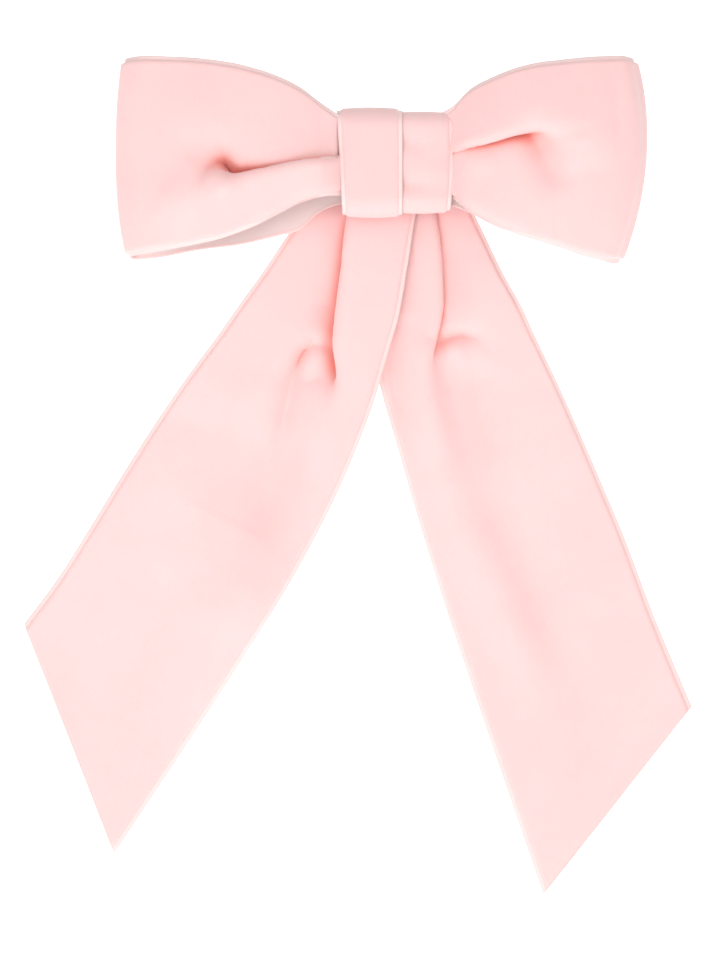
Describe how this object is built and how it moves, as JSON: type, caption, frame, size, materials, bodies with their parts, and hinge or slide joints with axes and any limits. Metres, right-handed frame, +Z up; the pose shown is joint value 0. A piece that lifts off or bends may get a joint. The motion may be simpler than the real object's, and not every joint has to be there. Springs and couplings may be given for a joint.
{
  "type": "barrette",
  "caption": "Velvet ribbon bow with long slanted tails and a wrapped knot, on a spring barrette with a clasp arm, tension bar and pinch latch.",
  "frame": {"origin": "middle of the gap that holds the hair, between the tension bar and the clasp arm", "axes": "the bow faces -Y and the hair lies on the +Y side; +Z is up as worn, along the tails; +X is to the right of someone looking at the bow, and the clasp opens at its +X end"},
  "size_m": [0.1717, 0.0367, 0.2159],
  "materials": {
    "wide_velvet": "velvet pile with a woven selvedge",
    "knot_velvet": "velvet pile with a woven selvedge",
    "thread": "twisted polyester",
    "hot_glue": "satin",
    "nickel_steel": "nickel plated, satin"
  },
  "bodies": {
    "base": {"bow_loop_ribbon": "wide_velvet", "knot_wrap": "knot_velvet", "cinch_thread": "thread", "tail_fold": "wide_velvet", "knot_glue": "hot_glue", "clip_glue": "hot_glue", "base_plate": "nickel_steel", "hinge_pin": "nickel_steel", "tension_bar": "nickel_steel", "latch_bracket": "nickel_steel", "latch_rivet": "nickel_steel"},
    "clasp": {"clasp_arm": "nickel_steel"},
    "prong_upper": {"latch_prong_upper": "nickel_steel"},
    "prong_lower": {"latch_prong_lower": "nickel_steel"},
    "tail_left": {"left_tail": "wide_velvet"},
    "tail_right": {"right_tail": "wide_velvet"}
  },
  "joints": [
    {"name": "clasp_hinge", "type": "hinge", "parent": "base", "child": "clasp", "pos_m": [-0.033, 0.00331, 0], "axis": [0, 0, 1], "range_deg": [0, 100]},
    {"name": "latch_upper_flex", "type": "hinge", "parent": "base", "child": "prong_upper", "pos_m": [0.032, 0.00177, 0.002], "axis": [-1, 0, 0], "range_deg": [0, 9], "stiffness_Nm_per_rad": 0.02},
    {"name": "latch_lower_flex", "type": "hinge", "parent": "base", "child": "prong_lower", "pos_m": [0.032, 0.00177, -0.002], "axis": [1, 0, 0], "range_deg": [0, 9], "stiffness_Nm_per_rad": 0.02},
    {"name": "left_tail_swing", "type": "hinge", "parent": "base", "child": "tail_left", "pos_m": [0, -0.0096, -0.027], "axis": [-1, 0, 0], "range_deg": [0, 50]},
    {"name": "right_tail_swing", "type": "hinge", "parent": "base", "child": "tail_right", "pos_m": [0, -0.008, -0.027], "axis": [-1, 0, 0], "range_deg": [-25, 0]}
  ]
}
